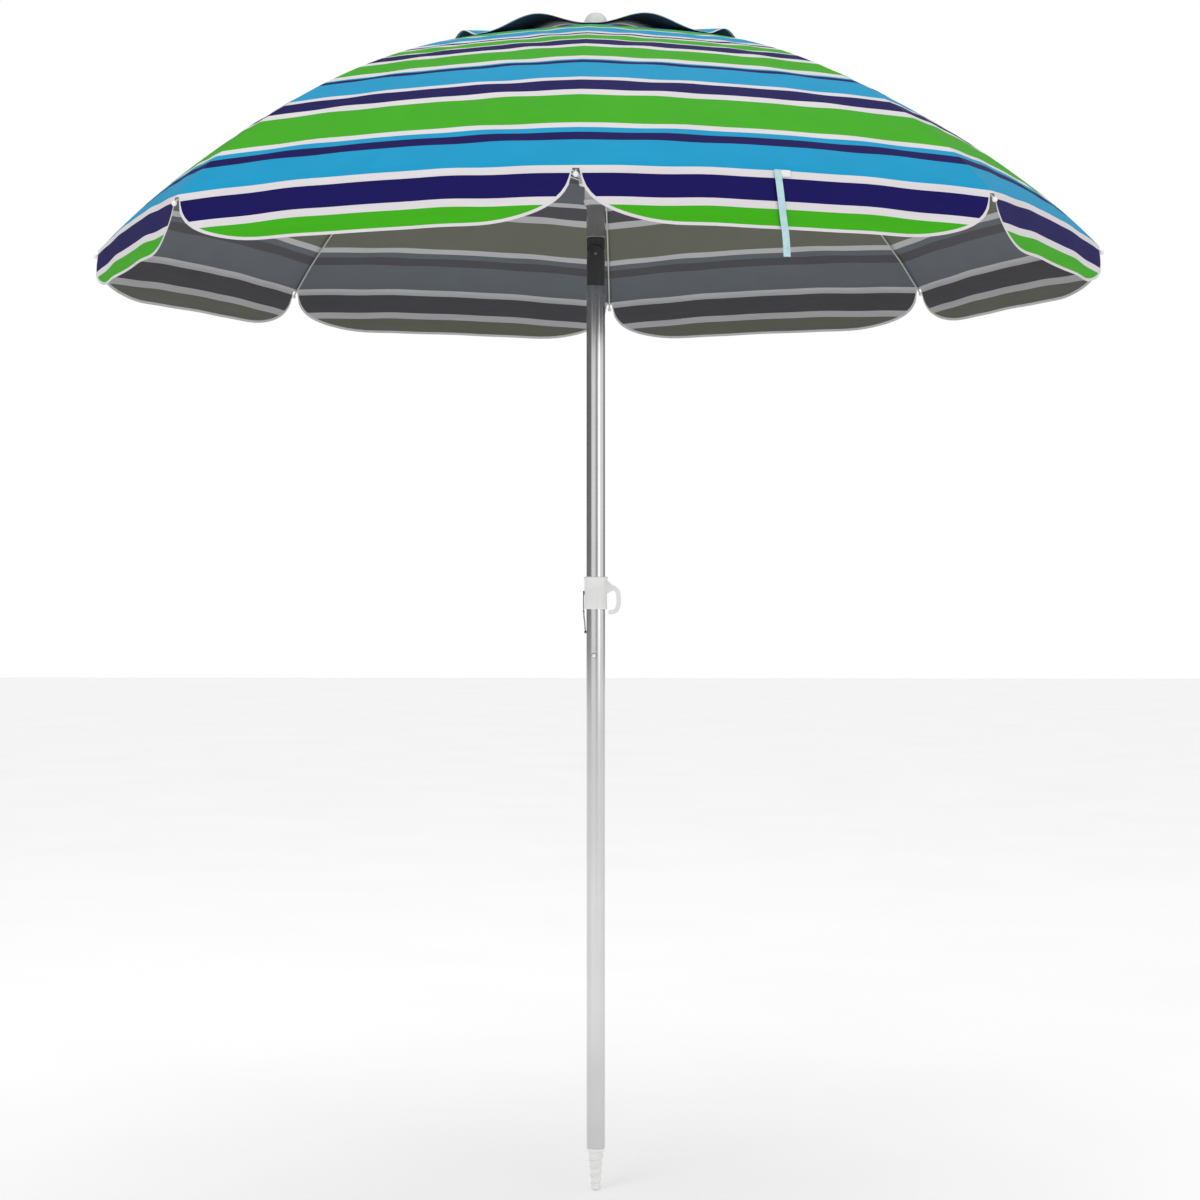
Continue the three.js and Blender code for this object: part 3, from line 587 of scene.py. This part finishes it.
class UMBRELLA_OT_stage(bpy.types.Operator):
    """Add the camera, the soft lights and the pale floor"""

    bl_idname = "umbrella.stage"
    bl_label = "Stage"
    bl_options = {"REGISTER", "UNDO"}

    def execute(self, context):
        distance, height, turn = 4.58, 1.0168, math.radians(-90 + 1.86)
        camera = bpy.data.cameras.new("camera")
        camera.lens = 79.6
        camera.shift_x = 0.0035
        camera.clip_end = 100
        eye = bpy.data.objects.new("camera", camera)
        eye.location = (distance * math.cos(turn), distance * math.sin(turn), height)
        eye.rotation_euler = (math.pi / 2, 0, turn + math.pi / 2)
        bpy.context.scene.collection.objects.link(eye)
        bpy.context.scene.camera = eye
        bm = bmesh.new()
        bmesh.ops.create_grid(bm, x_segments=1, y_segments=1, size=30)
        mesh = bpy.data.meshes.new("floor")
        bm.to_mesh(mesh)
        bm.free()
        material, tree, shader = new_material("floor paint")
        place = tree.nodes.new("ShaderNodeTexCoord").outputs["Object"]
        tint = ramp(tree, noise(tree, place, 1.5, 2.0), [(0.3, grey(0.93)), (0.7, grey(0.95))])
        tree.links.new(tint, shader.inputs["Base Color"])
        shader.inputs["Roughness"].default_value = 0.9
        mesh.materials.append(material)
        floor = bpy.data.objects.new("floor", mesh)
        floor.location.z = -0.001
        bpy.context.scene.collection.objects.link(floor)
        bpy.context.scene.view_settings.view_transform = "Standard"
        world = bpy.data.worlds.new("studio")
        world.use_nodes = True
        self.surroundings(world.node_tree)
        bpy.context.scene.world = world
        for name, place, size, power in (
            ("key", (-2.5, -4.5, 4.2), 3.0, 60),
            ("fill", (3.5, -4.0, 2.2), 3.0, 25),
            ("top", (0.3, 0.5, 5.0), 4.0, 25),
        ):
            light = bpy.data.lights.new(name, "AREA")
            light.size = size
            light.energy = power
            lamp = bpy.data.objects.new(name, light)
            lamp.location = place
            aim = Vector((0, 0, 1.4)) - Vector(place)
            lamp.rotation_euler = aim.to_track_quat("-Z", "Y").to_euler()
            bpy.context.scene.collection.objects.link(lamp)
        return {"FINISHED"}

    def surroundings(self, tree):
        """White walls, with grey screens to the sides that only the glossy parts mirror."""
        background = tree.nodes["Background"]
        split = tree.nodes.new("ShaderNodeSeparateXYZ")
        tree.links.new(tree.nodes.new("ShaderNodeTexCoord").outputs["Generated"], split.inputs[0])
        turn = maths(tree, "ARCTAN2", split.outputs["X"], maths(tree, "MULTIPLY", split.outputs["Y"], -1.0))
        share = maths(tree, "MULTIPLY_ADD", turn, 0.5 / math.pi, 0.5)
        degrees = (
            (-180, 0.16), (-62, 0.18), (-46, 1.0), (-8, 1.0), (4, 0.42),
            (32, 0.42), (46, 1.0), (100, 1.0), (116, 0.3),
        )
        walls = ramp(tree, share, [((a + 180) / 360, grey(value)) for a, value in degrees])
        path = tree.nodes.new("ShaderNodeLightPath")
        tree.links.new(mix(tree, path.outputs["Is Glossy Ray"], grey(1.0), walls), background.inputs["Color"])
        background.inputs["Strength"].default_value = 1.0


class UMBRELLA_OT_canopy(bpy.types.Operator):
    """Add the striped canopy with its scalloped valance"""

    bl_idname = "umbrella.canopy"
    bl_label = "Canopy"
    bl_options = {"REGISTER", "UNDO"}

    def execute(self, context):
        for k in range(RIBS):
            bm = shaped_grid(48, 64, panel_place)
            cloth_piece(
                f"canopy_{k + 1}", bm, k, ["canopy", "canopy_under"],
                [f"canopy_panel_{k + 1}"],
            )
        return {"FINISHED"}


class UMBRELLA_OT_vent_cap(bpy.types.Operator):
    """Add the billowing vent cap and the patch under the finial"""

    bl_idname = "umbrella.vent_cap"
    bl_label = "Vent cap"
    bl_options = {"REGISTER", "UNDO"}

    def execute(self, context):
        for k in range(RIBS):
            bm = shaped_grid(24, 24, vent_place)
            cloth_piece(f"vent_cap_{k + 1}", bm, k, ["cap", "cap_under"], ["vent_cap"])
        patch = turned([
            (0.0058, cap_height(0) + 0.0001), (0.02, cap_height(0.02) + 0.0001),
            (0.034, cap_height(0.034) + 0.0004), (0.034, cap_height(0.034) - 0.0006),
            (0.02, cap_height(0.02) - 0.0014), (0.0058, cap_height(0) - 0.0014),
            (0.0058, cap_height(0) + 0.0001),
        ])
        finish_piece("crown_patch", patch, ["tab"], "canopy_head", ["vent_cap"])
        return {"FINISHED"}


class UMBRELLA_OT_frame_wires(bpy.types.Operator):
    """Add the ribs, their tips and the stretchers"""

    bl_idname = "umbrella.frame_wires"
    bl_label = "Ribs and stretchers"
    bl_options = {"REGISTER", "UNDO"}

    def execute(self, context):
        for k in range(1, RIBS + 1):
            body = f"rib_body_{k}"
            softened(f"rib_{k}", body, "wire", 0.0001)
            softened(f"stretcher_{k}", f"stretcher_body_{k}", "steel", 0.0002)
            self.tip(k, body)
        return {"FINISHED"}

    def tip(self, k, body):
        low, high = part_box(f"rib_tip_{k}")
        bm = bmesh.new()
        bmesh.ops.create_uvsphere(bm, u_segments=24, v_segments=16, radius=TIP_BALL)
        bmesh.ops.translate(bm, verts=bm.verts, vec=(low + high) / 2)
        finish_piece(f"tip_ball_{k}", bm, ["white"], body, [f"rib_tip_{k}"])


class UMBRELLA_OT_pole(bpy.types.Operator):
    """Add the three tubes of the pole and the crown's finial"""

    bl_idname = "umbrella.pole"
    bl_label = "Pole"
    bl_options = {"REGISTER", "UNDO"}

    def execute(self, context):
        bore = POLE_RADIUS - POLE_WALL
        spigot = bore - GAP
        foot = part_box("middle_tube")[0].z
        lower = turned(tube_profile(bore, POLE_RADIUS, TIP_TOP, SEAM_Z))
        finish_piece("lower_tube_made", lower, ["tube"], "pole", ["lower_tube"])
        middle = turned([
            (spigot - 0.001, foot), (spigot, foot), (spigot, SEAM_Z + 0.0003), (POLE_RADIUS, SEAM_Z + 0.0006),
            (POLE_RADIUS, TILT_FOOT - 0.0003), (POLE_RADIUS - 0.0003, TILT_FOOT), (bore, TILT_FOOT),
            (bore, SEAM_Z + 0.006), (spigot - 0.001, SEAM_Z), (spigot - 0.001, foot),
        ])
        finish_piece("middle_tube_made", middle, ["tube"], "upper_pole", ["middle_tube"])
        upper = turned(tube_profile(bore, POLE_RADIUS, TUBE_FOOT, TUBE_TOP))
        finish_piece("canopy_tube_made", upper, ["tube"], "canopy_head", ["canopy_tube"])
        self.finial()
        return {"FINISHED"}

    def finial(self):
        low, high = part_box("finial")
        cap_foot = cap_height(0) + GAP
        top = high.z
        stem = 0.005
        wide = high.x
        rise = top - cap_foot
        arc = [
            (wide * math.cos(a) ** 0.8, cap_foot + 0.002 + (rise - 0.002) * math.sin(a))
            for a in (math.radians(x) for x in range(0, 90, 9))
        ]
        profile = [(0, low.z), (stem, low.z), (stem, cap_foot), (wide - 0.0015, cap_foot), *arc, (0, top)]
        finish_piece("finial_made", turned(profile), ["grey"], "canopy_head", ["finial"])


class UMBRELLA_OT_fittings(bpy.types.Operator):
    """Add the tilt joint, the collar, the button, the runner and the crown fittings"""

    bl_idname = "umbrella.fittings"
    bl_label = "Fittings"
    bl_options = {"REGISTER", "UNDO"}

    def execute(self, context):
        rows = (
            ("tilt_base", "upper_pole", "black", "black_plastic", 0.0006),
            ("tilt_head", "canopy_head", "black", "black_plastic", 0.0006),
            ("tilt_pivot", "upper_pole", "steel", "steel", 0.0003),
            ("pole_collar", "pole", "white", "white_plastic", 0.0008),
            ("lock_pin", "locking_pin", "iron", "steel", 0.0002),
            ("chain_rivet", "pole", "iron", "steel", 0.0006),
            ("snap_button", "button", "white", "steel", 0.0003),
            ("snap_spring", "upper_pole", "steel", "steel", 0.0001),
            ("runner", "runner", "white", "white_plastic", 0.0005),
            ("runner_catch", "canopy_head", "steel", "steel", 0.0002),
            ("crown_hub", "canopy_head", "white", "white_plastic", 0.0004),
            ("crown_ring", "canopy_head", "steel", "steel", 0.0001),
            ("cap_spacer", "canopy_head", "white", "white_plastic", 0.0004),
        )
        for cad_node, body, material, slot, width in rows:
            softened(cad_node, body, material, width)
        # a thin black ring of painted shade stands for the shaded edge of the button's hole
        self.button_hole_painted_shade()
        return {"FINISHED"}

    def button_hole_painted_shade(self):
        """A dark ring of painted shade round the button, standing for the shaded edge of the hole that it
        stands in, wrapped on the tube.
        """
        low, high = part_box("snap_button")
        middle = (low + high) / 2
        out = Vector((middle.x, middle.y, 0)).normalized()
        bm = bmesh.new()
        bmesh.ops.create_circle(bm, segments=32, radius=0.0046)
        rim = bmesh.ops.extrude_edge_only(bm, edges=bm.edges)
        inner = [v for v in rim["geom"] if isinstance(v, bmesh.types.BMVert)]
        bmesh.ops.scale(bm, vec=(0.82, 0.82, 1), verts=inner)
        turn = Vector((0, 0, 1)).rotation_difference(out).to_matrix()
        bmesh.ops.rotate(bm, verts=bm.verts, cent=(0, 0, 0), matrix=turn)
        bmesh.ops.translate(bm, verts=bm.verts, vec=(0, 0, middle.z + 0.0004))
        for vert in bm.verts:
            across = Vector((-out.y, out.x, 0)) * vert.co.dot(Vector((-out.y, out.x, 0)))
            depth = math.sqrt(POLE_RADIUS**2 - across.length_squared)
            vert.co.xy = (across + out * (depth + 0.00005)).xy
        bm.normal_update()
        if sum(f.normal.dot(out) for f in bm.faces) < 0:
            bmesh.ops.reverse_faces(bm, faces=bm.faces)
        bmesh.ops.solidify(bm, geom=bm.faces, thickness=-0.00012)
        bmesh.ops.recalc_face_normals(bm, faces=bm.faces)
        finish_piece("button_hole_painted_shade", bm, ["black"], "pole")


class UMBRELLA_OT_ground_tip(bpy.types.Operator):
    """Add the screw-in ground tip with its rounded thread"""

    bl_idname = "umbrella.ground_tip"
    bl_label = "Ground tip"
    bl_options = {"REGISTER", "UNDO"}

    def execute(self, context):
        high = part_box("ground_screw")[1]
        top = TIP_TOP - GAP
        tip, wide, head = 0.0066, 0.0122, POLE_RADIUS - 0.0008
        core = turned([
            (0, 0.009), (0.0038, 0.009), (0.0042, 0), (tip - 0.0004, 0), (tip, 0.0004),
            (wide, top - 0.006), (head - 0.0002, top - 0.005), (head, top - 0.0045),
            (head, top), (head - 0.0005, top), (head - 0.0005, high.z), (0, high.z),
        ], 64)
        finish_piece("ground_tip_core", core, ["white"], "pole", ["ground_screw"])
        turns, steps, first, last = 4.4, 264, 0.0034, top - 0.009
        bead, far = 0.0024, 0.9  # the thread is spun wide, then drawn in to the core's taper
        bm = bmesh.new()
        arc = [math.radians(x) for x in range(-90, 91, 30)]
        line = [bm.verts.new((far + bead * math.cos(a), 0, first + bead * math.sin(a))) for a in arc]
        bmesh.ops.spin(
            bm, geom=[bm.faces.new(line)], cent=(0, 0, 0), axis=(0, 0, 1), angle=2 * math.pi * turns,
            steps=steps, dvec=(0, 0, (last - first) / steps), use_duplicate=False,
        )
        for vert in bm.verts:
            flat = Vector((vert.co.x, vert.co.y, 0))
            along = min(1.0, max(0.0, vert.co.z / top))
            want = tip + (wide - tip) * along - 0.0004 + (flat.length - far)
            vert.co.xy = (flat.normalized() * want).xy
        bmesh.ops.recalc_face_normals(bm, faces=bm.faces)
        finish_piece("ground_tip_thread", bm, ["white"], "pole", sharp=50.0)
        return {"FINISHED"}


class UMBRELLA_OT_chain(bpy.types.Operator):
    """Add the little chain between the locking pin and the pole"""

    bl_idname = "umbrella.chain"
    bl_label = "Pin chain"
    bl_options = {"REGISTER", "UNDO"}

    def execute(self, context):
        out = POLE_RADIUS + 0.0036 + GAP
        pin_z = SEAM_Z - 0.021
        ends = [
            (-out - 0.001, pin_z - 0.0335), (-out - 0.0002, pin_z - 0.043),
            (-POLE_RADIUS - 0.0029, pin_z - 0.054), (-POLE_RADIUS - 0.0023, pin_z - 0.0646),
        ]
        count = 24
        path = [self.spline(ends, i / (count - 1)) for i in range(count)]
        length = sum((b - a).length for a, b in zip(path, path[1:]))
        link = settings().link
        links = round(length / (link * LINK_PITCH))
        bm = bmesh.new()
        for i in range(links):
            at = self.spline(ends, (i + 0.5) / links)
            ahead = (self.spline(ends, min(1, (i + 1) / links)) - self.spline(ends, i / links)).normalized()
            self.add_link(bm, at, ahead, link, 90 * (i % 2) + 20)
        piece = finish_piece("pin_chain_links", bm, ["iron"], None, ["pin_chain"])
        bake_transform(piece)
        return {"FINISHED"}

    def spline(self, points, t):
        """A Catmull-Rom curve through points in the XZ plane."""
        spans = len(points) - 1
        i = min(spans - 1, int(t * spans))
        f = t * spans - i
        p = [Vector(points[min(spans, max(0, i + n))]) for n in (-1, 0, 1, 2)]
        v = 0.5 * (
            2 * p[1] + (p[2] - p[0]) * f
            + (2 * p[0] - 5 * p[1] + 4 * p[2] - p[3]) * f**2
            + (3 * p[1] - p[0] - 3 * p[2] + p[3]) * f**3
        )
        return Vector((v.x, 0, v.y))

    def add_link(self, bm, at, ahead, length, roll):
        """One link: a ring of wire, drawn out along its length, rolled and set in place."""
        made = bmesh.ops.create_circle(bm, segments=6, radius=LINK_WIRE)["verts"]
        upright = Matrix.Rotation(math.pi / 2, 3, "X")
        bmesh.ops.translate(bm, verts=made, vec=(LINK_HALF, 0, 0))
        bmesh.ops.rotate(bm, verts=made, cent=(LINK_HALF, 0, 0), matrix=upright)
        edges = list(dict.fromkeys(e for v in made for e in v.link_edges))
        bmesh.ops.spin(
            bm, geom=list(made) + edges, cent=(0, 0, 0), axis=(0, 0, 1),
            angle=2 * math.pi, steps=14, use_merge=True,
        )
        whole = [v for v in bm.verts if not v.tag]
        stretch = length / 2 - 0.0013
        for v in whole:
            v.co.y += math.copysign(stretch, v.co.y) if abs(v.co.y) > 1e-6 else 0
        turn = Vector((0, 1, 0)).rotation_difference(ahead).to_matrix()
        roll = Matrix.Rotation(math.radians(roll), 3, ahead)
        for v in whole:
            v.co = roll @ (turn @ v.co) + at
            v.tag = True
        faces = list(dict.fromkeys(f for v in whole for f in v.link_faces))
        bmesh.ops.recalc_face_normals(bm, faces=faces)


class UMBRELLA_OT_strap(bpy.types.Operator):
    """Add the closing strap and its sewn tab in front of the front flap"""

    bl_idname = "umbrella.strap"
    bl_label = "Closing strap"
    bl_options = {"REGISTER", "UNDO"}

    def execute(self, context):
        self.tape("strap", "strap", (8, 60), lambda u, v: (
            u * 0.0055, -0.022 + 0.0085 * v, 0.127 * v - 0.004, 0.0026 + 0.0012 * math.sin(9 * v) * v,
        ))
        self.tape("strap_tab", "tab", (6, 6), lambda u, v: (u * 0.0095, -0.011, 0.010 * v - 0.004, 0.0012))
        return {"FINISHED"}

    def tape(self, cad_node, material, cells, lay):
        """One strip of tape in front of the flap, from its (side, place, drop, out) at u and v."""
        rim = RADIUS * math.cos(HALF_GORE)
        rim_z = rib_height(RADIUS) + RIM_RISE
        facing = Matrix.Rotation(-math.pi / 2 + HALF_GORE, 3, "Z")

        def place(u, v):
            side, middle, drop, out = lay(u, v)
            lean = VALANCE_LEAN * max(0, min(drop, VALANCE + 0.006))
            point = facing @ Vector((rim + lean + out, middle + side, rim_z - drop))
            return point, (side, v), CLEAR

        bm = shaped_grid(*cells, place)
        piece = finish_piece(
            cad_node + "_made", bm, [material], "rib_body_7", [cad_node], 180.0,
        )
        thick = piece.modifiers.new("tape thickness", "SOLIDIFY")
        thick.thickness = TAPE
        thick.offset = 0
        round_edges = piece.modifiers.new("round edges", "BEVEL")
        round_edges.width = EDGE_ROUND
        round_edges.segments = 2


class UMBRELLA_PT_panel(bpy.types.Panel):
    """Lists the umbrella's settings and pieces."""

    bl_idname = "UMBRELLA_PT_panel"
    bl_label = "Beach Umbrella"
    bl_space_type = "VIEW_3D"
    bl_region_type = "UI"
    bl_category = "Umbrella"

    def draw(self, context):
        for name in ("cyan", "navy", "green", "white", "lining", "cloth", "tape", "billow", "link"):
            self.layout.prop(context.scene.umbrella, name)
        for operator in OPERATORS:
            self.layout.operator(operator.bl_idname)


OPERATORS = (
    UMBRELLA_OT_stage,
    UMBRELLA_OT_chain,
    UMBRELLA_OT_canopy,
    UMBRELLA_OT_vent_cap,
    UMBRELLA_OT_frame_wires,
    UMBRELLA_OT_pole,
    UMBRELLA_OT_fittings,
    UMBRELLA_OT_ground_tip,
    UMBRELLA_OT_strap,
)


def register():
    for made in (UmbrellaSettings, *OPERATORS, UMBRELLA_PT_panel):
        bpy.utils.register_class(made)
    bpy.types.Scene.umbrella = bpy.props.PointerProperty(type=UmbrellaSettings)


def unregister():
    del bpy.types.Scene.umbrella
    for made in reversed((UmbrellaSettings, *OPERATORS, UMBRELLA_PT_panel)):
        bpy.utils.unregister_class(made)


def main():
    register()
    make_materials()
    for operator in OPERATORS:
        getattr(bpy.ops.umbrella, operator.bl_idname.split(".")[1])()


if __name__ == "__main__":
    main()
